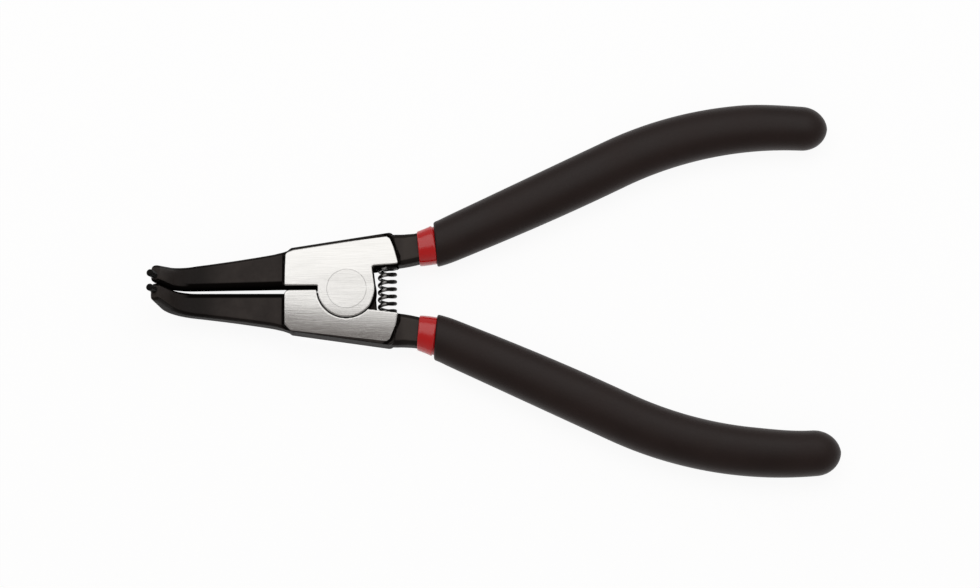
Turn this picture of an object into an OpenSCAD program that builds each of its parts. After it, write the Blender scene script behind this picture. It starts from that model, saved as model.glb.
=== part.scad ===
// Bent-nose circlip pliers for external rings: two forged levers lapped on a flush rivet, with a
// return spring, a pin in each nose and handles dipped in two coats. Millimetres.
// The origin is on the pivot axis at the back face of the head. Jaws point along -X, noses along +Z.

/* [Joint head] */
// Thickness of the head between its two polished faces
head_t = 7.2; // [6:0.1:9]
// Length of the head ahead of the pivot
head_front = 16; // [13:0.1:18]
// Length of the head behind the pivot
head_rear = 13.2; // [12:0.1:15]
// Width of one lever's head at its front corner, from the middle of the tool
head_front_w = 11; // [9.5:0.1:12]
// Width of one lever's head at its rear corner, from the middle of the tool
head_rear_w = 14.6; // [13:0.1:16]
// Length cut off the front outer corner of the head
head_corner = 1.6; // [1:0.1:3]
// Lean of the rear edge of the head
head_rear_lean = 1.4; // [0.5:0.1:3]
// Rounding of the long outer edges of the polished faces
head_edge_r = 0.7; // [0.5:0.05:1]
// Rounding of the front and rear edges of the polished faces
end_edge_r = 0.45; // [0.3:0.05:0.45]
// Radius of the round lap disc on each lever
disc_r = 7.45; // [6.8:0.05:8]
// How far the disc's straight rear edge leans forward on its way to the lever
disc_lean = 0.6; // [0.4:0.1:1]
// Gap around the lap disc
disc_gap = 0.3; // [0.2:0.05:0.5]
// Gap between the two flat lap faces
lap_gap = 0.06; // [0.04:0.01:0.1]

/* [Pivot rivet] */
// Radius of the rivet's shank
rivet_r = 3; // [2.5:0.1:3.5]
// Radius of the rivet's two flush countersunk ends
rivet_head_r = 5; // [4.2:0.1:5.6]
// Depth of each countersink
rivet_head_h = 1.6; // [1:0.1:2.2]
// Running clearance around the rivet
rivet_gap = 0.04; // [0.02:0.01:0.08]

/* [Jaws and noses] */
// Distance from the pivot to the start of the bend
jaw_len = 38.8; // [34:0.2:46]
// Outer edge of the jaw where it leaves the head, from the middle of the tool
jaw_root_w = 10.05; // [9:0.05:10.6]
// Outer edge of the jaw at the bend
jaw_bend_w = 6.35; // [5:0.05:7]
// Outer edge of the nose at its end
nose_end_w = 4.45; // [3.8:0.05:4.8]
// Gap between the levers at the head, with the handles let go
jaw_gap = 1.7; // [1.2:0.1:3]
// Gap between the jaws where the bend starts
bend_gap = 1.2; // [0.8:0.1:1.6]
// Gap between the noses after the bend
nose_gap = 0.4; // [0.3:0.1:1.2]
// Step from the head's slot wall back to the jaw's inner wall
jaw_step = 0.1; // [0.05:0.05:0.3]
// How far the outer edge of the jaw curves in
jaw_sag = 0.2; // [0:0.05:0.5]
// Flare of the jaw's outer edge as it runs into the head
jaw_flare = 0.9; // [0.3:0.1:1.2]
// Thickness of the jaw at the head
jaw_root_t = 6; // [5:0.1:6.6]
// Thickness of the jaw at the bend
jaw_bend_t = 4.6; // [4:0.1:5.4]
// Thickness of the nose at its end
nose_end_t = 2.8; // [2.6:0.1:3.6]
// Rounding of the jaw's long edges
jaw_edge_r = 1; // [0.5:0.1:1.2]
// Angle of the bend
bend_angle = 74; // [30:1:90]
// Radius of the bend at the middle of the jaw
bend_r = 7; // [5:0.1:9]
// Length of the straight nose after the bend
nose_len = 7.8; // [5:0.1:9]

/* [Tip pins] */
// Radius of the pin that enters the ring's eye
pin_r = 0.9; // [0.6:0.05:0.9]
// Length of pin that stands out of the nose
pin_out = 3; // [2:0.1:4]
// Length of pin set into the nose
pin_in = 4; // [3:0.1:5]
// Steel between the pin and the nose's inner side
pin_wall = 0.75; // [0.4:0.05:0.9]
// How much thinner the pin's stem in the nose is than the pin, on the radius
pin_shoulder = 0.3; // [0.2:0.05:0.4]
// Bevel at the pin's outer end
pin_bevel = 0.25; // [0.1:0.05:0.4]
// Clearance around the pin's stem in its hole, and under its shoulder
pin_gap = 0.02; // [0.01:0.01:0.04]

/* [Return spring] */
// Distance of the spring behind the pivot
spring_x = 10.3; // [10.2:0.05:10.5]
// Outer radius of the coil
spring_r = 2.5; // [2:0.05:2.6]
// Radius of the spring wire
wire_r = 0.42; // [0.3:0.02:0.45]
// Number of open turns
open_turns = 6; // [5:1:7]
// Turns closed up at each end
closed_turns = 0.75; // [0.5:0.25:1]
// Half the distance between the levers' rear faces that hold the spring
rear_half = 6; // [5.5:0.1:6.5]
// How much the levers' rear faces part from the disc to the rear end, on each side
rear_rise = 0.7; // [0.2:0.1:1]
// Depth of the spring's seat in each lever
seat_depth = 1; // [0.6:0.1:1.4]
// Clearance around the spring in its seat
seat_gap = 0.2; // [0.1:0.05:0.3]

/* [Handles] */
// Where the handle's middle line starts, behind the pivot
handle_x = 12; // [11:0.1:13]
// Where the handle's middle line starts, from the middle of the tool
handle_y = 10.35; // [10:0.05:10.6]
// Heading of the handle where it starts
handle_heading = 1.65; // [0:0.05:4]
// Length of the first bend of the handle
shank_run = 15; // [12:0.5:18]
// Turn of the first bend of the handle
shank_turn = 22; // [18:0.5:26]
// Length of the nearly straight run of the handle
middle_run = 47; // [38:0.5:56]
// Turn of the nearly straight run of the handle
middle_turn = 2; // [0:0.5:4]
// Length of the bend back at the heel of the handle
heel_run = 49.6; // [42:0.2:58]
// Turn of the bend back at the heel
heel_turn = -29; // [-34:0.5:-22]
// Length of the steel tang along the handle
tang_len = 114.5; // [100:0.5:120]
// Width of the shank between the head and the grip
shank_w = 8.1; // [7.4:0.1:8.3]
// Width of the shank where it enters the red coat
neck_w = 7.3; // [7:0.1:8]
// Thickness of the shank
shank_t = 6; // [5:0.1:6.6]
// Width of the tang inside the grip
tang_w = 8; // [7.4:0.1:9]
// Thickness of the tang inside the grip
tang_t = 5.2; // [4.5:0.1:5.6]
// Rounding of the shank's and tang's long edges
tang_edge_r = 1.5; // [1:0.1:2]

/* [Dipped coats] */
// Thickness of the red inner coat
sleeve_t = 0.55; // [0.4:0.05:0.8]
// Where the red coat starts along the handle
sleeve_start = 6.3; // [5:0.1:8]
// Length of red coat that shows ahead of the black one
collar_len = 4.8; // [3:0.1:6]
// Width of the black grip at its mouth
grip_mouth_w = 11.2; // [11:0.1:12]
// Width of the black grip at its widest
grip_w = 13.1; // [12.4:0.1:14]
// Width of the black grip at its heel
grip_heel_w = 12.1; // [11.6:0.1:13]
// Where the black grip is widest, along the handle
grip_wide_at = 56; // [48:1:64]
// Thickness of the black grip as a part of its width
grip_flat = 0.67; // [0.65:0.01:0.75]
// Roundness of the grip's section, as a part of its thickness
grip_round = 0.46; // [0.4:0.01:0.48]
// Length of the grip's domed heel
dome_len = 6.6; // [4.5:0.1:7]
// Clearance between a coat and what it covers
coat_gap = 0.05; // [0.02:0.01:0.1]

/* [Hidden] */
$fn = 96;
over = 1;
mid_z = head_t / 2;
lap_h = mid_z - lap_gap / 2;
corner_edge_r = (head_edge_r + end_edge_r) / 2;
disc_inside = 0.1;
corner_steps = 4;
edge_steps = 5;
oxide = [0.13, 0.12, 0.115];
steel = [0.78, 0.78, 0.77];
red = [0.72, 0.05, 0.06];
black = [0.06, 0.06, 0.06];

// Path of the jaw and nose, seen from the side, from inside the head to the nose's end
jaw_inside = 2.6;
jaw_sink = 0.8;
jaw_start = head_front - jaw_inside;
jaw_straight = jaw_len - jaw_start;
bend_run = bend_r * bend_angle * PI / 180;
jaw_total = jaw_straight + bend_run + nose_len;
jaw_runs = [[jaw_straight, 0], [bend_run, bend_angle], [nose_len, 0]];
jaw_steps = 9;
bend_steps = 7;
nose_steps = 3;
flare_part = 0.25;

// Path of the handle, seen from above
handle_runs = [[shank_run, shank_turn], [middle_run, middle_turn], [heel_run, heel_turn], [tang_len, 0]];
tang_inside = 2;
tang_narrow = 0.9;
grip_start = sleeve_start + collar_len;
heel_start = shank_run + middle_run;
shank_steps = 5;
middle_steps = 3;
heel_steps = 7;
dome_steps = 5;
dome_cut = 78;

// Coat ends along the handle: each coat closes over the end of what it covers
sleeve_bore_end = tang_len + coat_gap;
sleeve_end = sleeve_bore_end + sleeve_t;
grip_bore_end = sleeve_end + coat_gap;
dome_overlap = 2.7;
dome_start = grip_bore_end - dome_overlap;

stem_r = pin_r - pin_shoulder;

// Spring between the floors of its two seats
seat_y = rear_half + seat_depth;
spring_len = 2 * (seat_y - coat_gap);
coil_r = spring_r - wire_r;
closed_space = 0.04;
closed_pitch = 2 * wire_r + closed_space;
open_pitch = (spring_len - 2 * wire_r - 2 * closed_turns * closed_pitch) / open_turns;
coil_turns = open_turns + 2 * closed_turns;
coil_steps = 14;
wire_sides = 8;

function mix(a, b, u) = a + (b - a) * u;
function clamp(u) = max(0, min(1, u));

// Point and heading at distance s along one run, [length, turn], that starts at p with heading h
function along(p, h, run, s) =
    let (turn = run[1] * s / run[0])
    turn == 0
        ? [p.x + s * cos(h), p.y + s * sin(h), h]
        : let (r = s * 180 / (turn * PI))
          [p.x + r * (sin(h + turn) - sin(h)), p.y - r * (cos(h + turn) - cos(h)), h + turn];

// Point and heading at distance s along a chain of runs
function walk(p, h, runs, s, i = 0) =
    i == len(runs) - 1 || s <= runs[i][0]
        ? along(p, h, runs[i], s)
        : let (end = along(p, h, runs[i], runs[i][0]))
          walk([end.x, end.y], end.z, runs, s - runs[i][0], i + 1);

// Rounded rectangle, w across and t through, as points round its edge
function bar(w, t, r) =
    [for (q = [0:3], i = [0:corner_steps])
        let (a = 90 * (q + i / corner_steps))
        let (across = q == 0 || q == 3 ? 1 : -1, up = q < 2 ? 1 : -1)
        [across * (w / 2 - r) + r * cos(a), up * (t / 2 - r) + r * sin(a)]];

// Section of the jaw and nose at distance s along their path
function jaw_ring(s) =
    let (pose = walk([jaw_start, mid_z], 0, jaw_runs, s))
    let (u = clamp(s / jaw_straight))
    let (v = clamp((s - jaw_straight) / (bend_run + nose_len)))
    let (flare = jaw_flare * pow(1 - clamp(u / flare_part), 2))
    let (outer = mix(mix(jaw_root_w, jaw_bend_w, u), nose_end_w, v) - 4 * jaw_sag * u * (1 - u) + flare)
    let (sunk = jaw_sink * (1 - clamp(s / jaw_inside)))
    let (closing = clamp((s - jaw_straight) / bend_run))
    let (inner = mix(mix(jaw_gap / 2 + jaw_step, bend_gap / 2, u), nose_gap / 2, closing) + sunk)
    let (t = mix(mix(jaw_root_t, jaw_bend_t, u), nose_end_t, v))
    [for (q = bar(outer - inner, t, jaw_edge_r))
        [-pose.x + q.y * sin(pose.z), (inner + outer) / 2 - q.x, pose.y + q.y * cos(pose.z)]];

// Section, w by t, standing across the handle at distance s along it
function handle_ring(s, w, t, r) =
    let (pose = walk([handle_x, handle_y], handle_heading, handle_runs, s))
    [for (q = bar(w, t, r)) [pose.x - q.x * sin(pose.z), pose.y + q.x * cos(pose.z), mid_z + q.y]];

// Width and thickness of the steel along the handle
function steel_w(s) =
    lookup(s, [
        [-tang_inside, shank_w - tang_narrow], [0, shank_w], [sleeve_start, neck_w], [grip_start, tang_w]]);
function steel_t(s) = lookup(s, [[sleeve_start, shank_t], [grip_start, tang_t]]);

// Steel's section grown by g on every side
function coat_ring(s, g) = handle_ring(s, steel_w(s) + 2 * g, steel_t(s) + 2 * g, tang_edge_r + g);

// Width of the black grip along the handle
function grip_width(s) =
    s < grip_wide_at
        ? mix(grip_mouth_w, grip_w, sin(90 * clamp((s - grip_start) / (grip_wide_at - grip_start))))
        : mix(grip_w, grip_heel_w, 1 - cos(90 * clamp((s - grip_wide_at) / (dome_start - grip_wide_at))));

// Section of the grip's outside, scaled down by k on the domed heel
function grip_ring(s, k = 1) =
    let (w = grip_width(s) * k)
    handle_ring(s, w, w * grip_flat, w * grip_flat * grip_round);

// Distances along the handle, from a to b, that follow its bends
function stations(a, b) =
    concat(
        [a],
        [for (i = [1:shank_steps]) let (s = shank_run * i / shank_steps) if (s > a + over) s],
        [for (i = [1:middle_steps]) shank_run + middle_run * i / middle_steps],
        [for (i = [1:heel_steps]) let (s = heel_start + heel_run * i / heel_steps) if (s < b - over) s],
        [b]);

function backwards(list) = [for (i = [len(list) - 1:-1:0]) list[i]];

// Closed skin through rings of equally many points
module loft(rings) {
    n = len(rings[0]);
    last = (len(rings) - 1) * n;
    sides = [for (i = [0:n:last - 1], j = [0:n - 1])
        let (a = i + j, b = i + (j + 1) % n)
        each [[a, a + n, b], [b, a + n, b + n]]];
    first_cap = [for (j = [0:n - 1]) j];
    last_cap = [for (j = [n - 1:-1:0]) last + j];
    polyhedron([for (ring = rings) each ring], concat(sides, [first_cap, last_cap]));
}

// Waste outside the rounding, of radius r, of one edge that runs through the origin
module edge_waste(r) {
    arc = [for (i = [0:edge_steps]) let (a = 180 + 90 * i / edge_steps) [r + r * cos(a), r + r * sin(a)]];
    start = arc[0] + over * (arc[0] - arc[1]) / r;
    end = [start.y, start.x];
    polygon(concat([start], [for (i = [1:edge_steps - 1]) arc[i]], [end, [-over, -over]]));
}

// Cutter that rounds the top and bottom edges of the wall from a to b
module edge_cutter(a, b, r) {
    translate([a.x, a.y, 0])
        rotate(atan2(b.y - a.y, b.x - a.x))
            translate([-over, 0, 0])
                rotate([90, 0, 90])
                    linear_extrude(norm(b - a) + 2 * over) {
                        edge_waste(r);
                        translate([0, head_t]) mirror([0, 1]) edge_waste(r);
                    }
}

// One lever's side of the head, before the lap is cut, with its outer walls rounded over at both faces
module head_block() {
    slot = jaw_gap / 2;
    slope = rear_rise / (head_rear - disc_r);
    rear_near = [0, rear_half - rear_rise / 2 - slope * disc_r];
    rear_far = [head_rear, rear_half + rear_rise / 2];
    front_high = [-head_front, head_front_w - head_corner];
    corner = [head_corner - head_front, head_front_w];
    rear_high = [head_rear - head_rear_lean, head_rear_w];
    rear_low = [head_rear, rear_half + head_rear_lean];
    difference() {
        linear_extrude(head_t)
            polygon([[-head_front, slot], [0, slot], rear_near, rear_far, rear_low, rear_high, corner,
                front_high]);
        edge_cutter(rear_low, rear_high, end_edge_r);
        edge_cutter(rear_high, corner, head_edge_r);
        edge_cutter(corner, front_high, corner_edge_r);
        edge_cutter(front_high, [-head_front, slot], end_edge_r);
    }
}

// Lap disc, with a straight rear edge from the round up into the lever
module disc() {
    back = disc_r - disc_inside;
    root = rear_half + disc_inside;
    cylinder(r = disc_r, h = lap_h);
    linear_extrude(lap_h)
        polygon([[disc_inside, 0], [back, 0], [back - disc_lean, root], [disc_inside, rear_half]]);
}

// Head of one lever: its lap disc in one half of the thickness, room for the other disc in the other
module head(disc_in_front) {
    difference() {
        head_block();
        translate([0, 0, disc_in_front ? -over : head_t - mid_z - lap_gap / 2])
            cylinder(r = disc_r + disc_gap, h = mid_z + lap_gap / 2 + over);
    }
    translate([0, 0, disc_in_front ? head_t - lap_h : 0]) disc();
}

module jaw() {
    straight = [for (i = [0:jaw_steps]) jaw_straight * i / jaw_steps];
    bend = [for (i = [1:bend_steps]) jaw_straight + bend_run * i / bend_steps];
    nose = [for (i = [1:nose_steps]) jaw_straight + bend_run + nose_len * i / nose_steps];
    loft([for (s = concat(straight, bend, nose)) jaw_ring(s)]);
}

module tang() {
    loft([for (s = concat([-tang_inside, 0], stations(sleeve_start, tang_len))) coat_ring(s, 0)]);
}

// Move to the end of the nose, with +Z along the tip pin
module at_nose() {
    end = walk([jaw_start, mid_z], 0, jaw_runs, jaw_total);
    pin_y = nose_gap / 2 + pin_wall + pin_r;
    translate([-end.x, pin_y, end.y]) rotate([0, end.z - 90, 0]) children();
}

// Room for the rivet in either lever
module rivet_room() {
    r = rivet_r + rivet_gap;
    head_r = rivet_head_r + rivet_gap;
    rotate_extrude()
        polygon([[0, -over], [head_r, -over], [head_r, 0], [r, rivet_head_h], [r, head_t - rivet_head_h],
            [head_r, head_t], [head_r, head_t + over], [0, head_t + over]]);
}

module lever(disc_in_front) {
    difference() {
        union() {
            head(disc_in_front);
            jaw();
            tang();
        }
        rivet_room();
        at_nose()
            translate([0, 0, -pin_in - pin_gap])
                cylinder(r = stem_r + pin_gap, h = pin_in + pin_gap + over);
        translate([spring_x, seat_y, mid_z])
            rotate([90, 0, 0])
                cylinder(r = spring_r + seat_gap, h = seat_depth + over);
    }
}

module right_lever() {
    color(oxide) lever(true);
}

module left_lever() {
    color(oxide) mirror([0, 1, 0]) lever(false);
}

module pivot_rivet() {
    color(steel)
        rotate_extrude()
            polygon([[0, 0], [rivet_head_r, 0], [rivet_r, rivet_head_h], [rivet_r, head_t - rivet_head_h],
                [rivet_head_r, head_t], [0, head_t]]);
}

// Height of the wire along the spring after a number of turns
function coil_y(turns) =
    closed_pitch * min(turns, closed_turns)
    + open_pitch * max(0, min(turns - closed_turns, open_turns))
    + closed_pitch * max(0, turns - closed_turns - open_turns);

module return_spring() {
    color(steel)
        translate([spring_x, wire_r - spring_len / 2, mid_z])
            loft([for (i = [0:coil_turns * coil_steps])
                let (a = -360 * i / coil_steps, y = coil_y(i / coil_steps))
                [for (j = [0:wire_sides - 1])
                    let (b = 360 * j / wire_sides, r = coil_r + wire_r * cos(b))
                    [r * cos(a), y - wire_r * sin(b), r * sin(a)]]]);
}

module tip_pin() {
    color(steel)
        at_nose()
            rotate_extrude()
                polygon([[0, -pin_in], [stem_r, -pin_in], [stem_r, pin_gap], [pin_r, pin_gap],
                    [pin_r, pin_out - pin_bevel], [pin_r - pin_bevel, pin_out], [0, pin_out]]);
}

module right_tip_pin() {
    tip_pin();
}

module left_tip_pin() {
    mirror([0, 1, 0]) tip_pin();
}

// Red coat: up its inside from the closed end to the mouth, then back along its outside
module sleeve() {
    inside = [for (s = backwards(stations(sleeve_start, sleeve_bore_end))) coat_ring(s, coat_gap)];
    outside = [for (s = stations(sleeve_start, sleeve_end)) coat_ring(s, coat_gap + sleeve_t)];
    color(red) loft(concat(inside, outside));
}

module right_sleeve() {
    sleeve();
}

module left_sleeve() {
    mirror([0, 1, 0]) sleeve();
}

// Black coat: the same over the red one, with its own swelling outside and a domed heel
module grip() {
    bore = 2 * coat_gap + sleeve_t;
    inside = [for (s = backwards(stations(grip_start, grip_bore_end))) coat_ring(s, bore)];
    outside = [for (s = stations(grip_start, dome_start)) grip_ring(s)];
    dome = [for (i = [1:dome_steps])
        let (a = dome_cut * i / dome_steps)
        grip_ring(dome_start + dome_len * sin(a), cos(a))];
    color(black) loft(concat(inside, outside, dome));
}

module right_grip() {
    grip();
}

module left_grip() {
    mirror([0, 1, 0]) grip();
}

right_lever();
left_lever();
pivot_rivet();
return_spring();
right_tip_pin();
left_tip_pin();
right_sleeve();
left_sleeve();
right_grip();
left_grip();
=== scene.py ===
import math

import bmesh
import bpy
from mathutils import Matrix, Vector


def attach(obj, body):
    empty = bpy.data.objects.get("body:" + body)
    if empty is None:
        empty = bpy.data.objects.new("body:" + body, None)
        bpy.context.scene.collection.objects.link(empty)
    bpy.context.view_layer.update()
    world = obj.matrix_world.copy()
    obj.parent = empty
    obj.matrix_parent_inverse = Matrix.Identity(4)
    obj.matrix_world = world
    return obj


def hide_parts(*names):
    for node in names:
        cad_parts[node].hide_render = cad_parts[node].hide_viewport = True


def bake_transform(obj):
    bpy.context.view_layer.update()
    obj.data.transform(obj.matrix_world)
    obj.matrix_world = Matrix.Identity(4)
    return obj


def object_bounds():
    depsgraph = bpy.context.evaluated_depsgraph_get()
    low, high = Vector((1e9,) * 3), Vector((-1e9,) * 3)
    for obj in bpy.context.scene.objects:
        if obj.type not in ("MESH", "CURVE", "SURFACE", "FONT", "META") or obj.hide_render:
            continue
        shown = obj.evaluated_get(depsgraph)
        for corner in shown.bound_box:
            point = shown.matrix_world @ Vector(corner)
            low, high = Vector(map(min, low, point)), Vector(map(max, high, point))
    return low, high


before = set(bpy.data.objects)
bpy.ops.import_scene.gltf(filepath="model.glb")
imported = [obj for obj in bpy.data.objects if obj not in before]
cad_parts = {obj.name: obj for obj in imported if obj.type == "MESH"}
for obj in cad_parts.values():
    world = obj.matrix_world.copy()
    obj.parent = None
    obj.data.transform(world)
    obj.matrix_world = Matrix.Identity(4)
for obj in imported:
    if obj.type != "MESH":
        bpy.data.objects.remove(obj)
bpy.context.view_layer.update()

MM = 0.001
scene = bpy.context.scene
scene.view_settings.view_transform = "Standard"

# Camera: the photograph looks down on the tool from the -Y side, its middle 36.6 mm behind the pivot
PHOTO_W = 980
MM_PER_PIXEL = 0.2565
PIVOT_U = 347.3
TILT = math.radians(12.5)
DISTANCE = 573.0
TURN = math.radians(-0.51)
SHIFT_Y = 1.0
SENSOR = 36.0

# Sizes in millimetres and degrees: the part's own, with a few drawn closer to the photograph
# Head
HEAD_T = 7.2
MID_Z = HEAD_T / 2
HEAD_FRONT = 16.0
HEAD_REAR = 13.2
HEAD_FRONT_W = 11.0
HEAD_REAR_W = 14.6
HEAD_CORNER = 1.6
HEAD_REAR_LEAN = 1.4
HEAD_SLOPE = (HEAD_REAR_W - HEAD_FRONT_W) / (HEAD_FRONT + HEAD_REAR)
REAR_HALF = 6.0
REAR_RISE = 0.7
DISC_R = 7.45
DISC_GAP = 0.22
LAP_GAP = 0.1
RIVET_R = 5.0
RIVET_CUT = 5.09
RIVET_SHANK_R = 3.0
RIVET_HEAD_H = 1.6

# Jaws, noses and tip pins
JAW_LEN = 38.8
JAW_ROOT_W = 10.05
JAW_BEND_W = 6.35
NOSE_END_W = 4.45
JAW_GAP = 1.7
BEND_GAP = 1.2
NOSE_GAP = 0.4
JAW_STEP = 0.1
JAW_SAG = 0.2
JAW_FLARE = 0.9
FLARE_PART = 0.25
JAW_ROOT_T = 6.0
JAW_BEND_T = 4.6
NOSE_END_T = 2.3
JAW_EDGE_R = 1.0
EDGE_SHARE = 0.48
JAW_WIDER = 0.25
BEND_ANGLE = 74.0
BEND_R = 7.0
NOSE_LEN = 7.8
JAW_INSIDE = 2.6
NOSE_ROUND = 0.8
PIN_R = 0.9
PIN_OUT = 3.0
PIN_IN = 4.0
PIN_STEM_R = 0.6
PIN_BEVEL = 0.25
PIN_WALL = 0.75
PIN_Y = NOSE_GAP / 2 + PIN_WALL + PIN_R

# Return spring
SPRING_X = 10.3
SPRING_R = 2.5
WIRE_R = 0.47
OPEN_TURNS = 6
CLOSED_TURNS = 0.75
CLOSED_PITCH = 0.98
SPRING_END = 6.95
SEAT_R = 2.7
SEAT_Y = 7.0

# Handles: runs of (length, turn), then the steel and its two coats
HANDLE_X = 12.0
HANDLE_Y = 10.35
HANDLE_HEADING = 1.65
TANG_LEN = 114.5
HANDLE_RUNS = [(15.0, 22.0), (47.0, 2.0), (49.6, -29.0), (TANG_LEN, 0.0)]
TANG_INSIDE = 4
SHANK_W = 8.1
SHANK_WIDER = 0.4
SHANK_ROOT_IN = 1.4
NECK_W = 7.3
NECK_WIDER = 0.2
TANG_W = 8.0
SHANK_T = 6.0
TANG_T = 5.2
TANG_EDGE_R = 1.5
SLEEVE_T = 0.55
SLEEVE_START = 6.3
COLLAR_LEN = 4.5
COLLAR_POWER = 2.4
GRIP_START = SLEEVE_START + COLLAR_LEN
GRIP_MOUTH_W = 11.5
GRIP_W = 13.1
GRIP_HEEL_W = 12.1
GRIP_WIDE_AT = 56.0
GRIP_FLAT = 0.67
GRIP_POWER = 2.2
COAT_GAP = 0.05
SLEEVE_END = TANG_LEN + COAT_GAP + SLEEVE_T
GRIP_BORE_END = SLEEVE_END + COAT_GAP
DOME_LEN = 6.6
DOME_BACK = 2.7
DOME_START = GRIP_BORE_END - DOME_BACK


def photo_to_row(point):
    """Photo's axes, in millimetres from its middle at mid thickness, to the row frame in metres."""
    x, y, z = point
    c, s = math.cos(TURN), math.sin(TURN)
    along = c * x - s * (y - SHIFT_Y)
    across = s * x + c * (y - SHIFT_Y)
    pivot = (PIVOT_U - PHOTO_W / 2) * MM_PER_PIXEL
    return Vector((along - pivot * c, across, z + MID_Z)) * MM


eye = photo_to_row((0, -DISTANCE * math.sin(TILT), DISTANCE * math.cos(TILT)))
right = (photo_to_row((1, 0, 0)) - photo_to_row((0, 0, 0))).normalized()
back = (eye - photo_to_row((0, 0, 0))).normalized()
camera_data = bpy.data.cameras.new("camera")
camera_data.sensor_width = SENSOR
camera_data.lens = DISTANCE / MM_PER_PIXEL * SENSOR / PHOTO_W
camera_data.clip_start = 0.01
camera_data.clip_end = 10
camera = bpy.data.objects.new("camera", camera_data)
axes = Matrix((right, back.cross(right), back)).transposed().to_4x4()
camera.matrix_world = Matrix.Translation(eye) @ axes
scene.collection.objects.link(camera)
scene.camera = camera


def mix(a, b, u):
    return a + (b - a) * u


def clamp(u):
    return max(0.0, min(1.0, u))


def smooth(u):
    u = clamp(u)
    return u * u * (3 - 2 * u)


def spread(a, b, n):
    """The ends a and b and n - 1 values evenly between them."""
    return [mix(a, b, i / n) for i in range(n + 1)]


def table(s, rows):
    """Straight-line lookup of s in rows of (s, value)."""
    if s <= rows[0][0]:
        return rows[0][1]
    for (a, va), (b, vb) in zip(rows, rows[1:]):
        if s <= b:
            return mix(va, vb, (s - a) / (b - a))
    return rows[-1][1]


def walk(x, y, heading, runs, s):
    """Point and heading in degrees at distance s along a chain of (length, turn) runs."""
    for i, (length, turn) in enumerate(runs):
        step = s if i == len(runs) - 1 else min(s, length)
        start = math.radians(heading)
        heading += turn * step / length
        end = math.radians(heading)
        if abs(end - start) < 1e-9:
            x += step * math.cos(start)
            y += step * math.sin(start)
        else:
            r = step / (end - start)
            x += r * (math.sin(end) - math.sin(start))
            y -= r * (math.cos(end) - math.cos(start))
        s -= step
        if s <= 0:
            break
    return x, y, heading


# Steps in each quarter of a section
SECTION_STEPS = 8


def bar(w, t, r):
    """Rounded rectangle, w across and t through, as points round its edge."""
    points = []
    for q in range(4):
        across = 1 if q in (0, 3) else -1
        up = 1 if q < 2 else -1
        for i in range(SECTION_STEPS + 1):
            a = math.radians(90 * (q + i / SECTION_STEPS))
            points.append((across * (w / 2 - r) + r * math.cos(a),
                           up * (t / 2 - r) + r * math.sin(a)))
    return points


def oval(w, t, power):
    """Oval, w across and t through, squarer for a higher power, with as many points as a bar."""
    def bent(value):
        return math.copysign(abs(value) ** (2 / power), value)

    n = 4 * (SECTION_STEPS + 1)
    angles = [2 * math.pi * (k + 0.5) / n for k in range(n)]
    return [(bent(math.cos(a)) * w / 2, bent(math.sin(a)) * t / 2) for a in angles]


# Jaw and nose, from inside the head to the nose's end
jaw_start = HEAD_FRONT - JAW_INSIDE
jaw_straight = JAW_LEN - jaw_start
bend_run = math.radians(BEND_ANGLE) * BEND_R
jaw_total = jaw_straight + bend_run + NOSE_LEN
JAW_RUNS = [(jaw_straight, 0.0), (bend_run, BEND_ANGLE), (NOSE_LEN, 0.0)]


def jaw_ring(s, shrink=0.0):
    """Section of the jaw and nose at distance s along their path, drawn in by shrink."""
    x, z, heading = walk(jaw_start, MID_Z, 0.0, JAW_RUNS, s)
    u = clamp(s / jaw_straight)
    v = clamp((s - jaw_straight) / (bend_run + NOSE_LEN))
    flare = JAW_FLARE * (1 - clamp(u / FLARE_PART)) ** 2
    sag = 4 * JAW_SAG * u * (1 - u)
    outer = mix(mix(JAW_ROOT_W, JAW_BEND_W, u) + JAW_WIDER, NOSE_END_W, v) - sag + flare
    closing = clamp((s - jaw_straight) / bend_run)
    inner = mix(mix(JAW_GAP / 2 + JAW_STEP, BEND_GAP / 2, u), NOSE_GAP / 2, closing)
    t = mix(mix(JAW_ROOT_T, JAW_BEND_T, u), NOSE_END_T, v)
    h = math.radians(heading)
    edge = min(JAW_EDGE_R, EDGE_SHARE * t - shrink)
    ring = bar(outer - inner - 2 * shrink, t - 2 * shrink, edge)
    return [(-x + b * math.sin(h), (inner + outer) / 2 - a, z + b * math.cos(h)) for a, b in ring]


def handle_ring(s, section, lean=0.0):
    """A section's points across the handle at distance s along it, their plane leant by degrees."""
    x, y, heading = walk(HANDLE_X, HANDLE_Y, HANDLE_HEADING, HANDLE_RUNS, s)
    h = math.radians(heading - lean)
    k = 1 / math.cos(math.radians(lean))
    return [(x - a * k * math.sin(h), y + a * k * math.cos(h), MID_Z + b) for a, b in section]


def steel_w(s):
    return table(s, [(-TANG_INSIDE, SHANK_W - SHANK_ROOT_IN), (0, SHANK_W + SHANK_WIDER),
                     (SLEEVE_START, NECK_W + NECK_WIDER), (GRIP_START, TANG_W)])


def steel_t(s):
    return table(s, [(SLEEVE_START, SHANK_T), (GRIP_START, TANG_T)])


def coat_ring(s, g, lean=0.0, rounder=0.0):
    """Steel's section at s, grown by g on every side; rounder, from 0 to 1, makes it an oval."""
    w, t = steel_w(s) + 2 * g, steel_t(s) + 2 * g
    pairs = zip(bar(w, t, TANG_EDGE_R + g), oval(w, t, COLLAR_POWER))
    section = [(mix(a, c, rounder), mix(b, d, rounder)) for (a, b), (c, d) in pairs]
    return handle_ring(s, section, lean)


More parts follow.
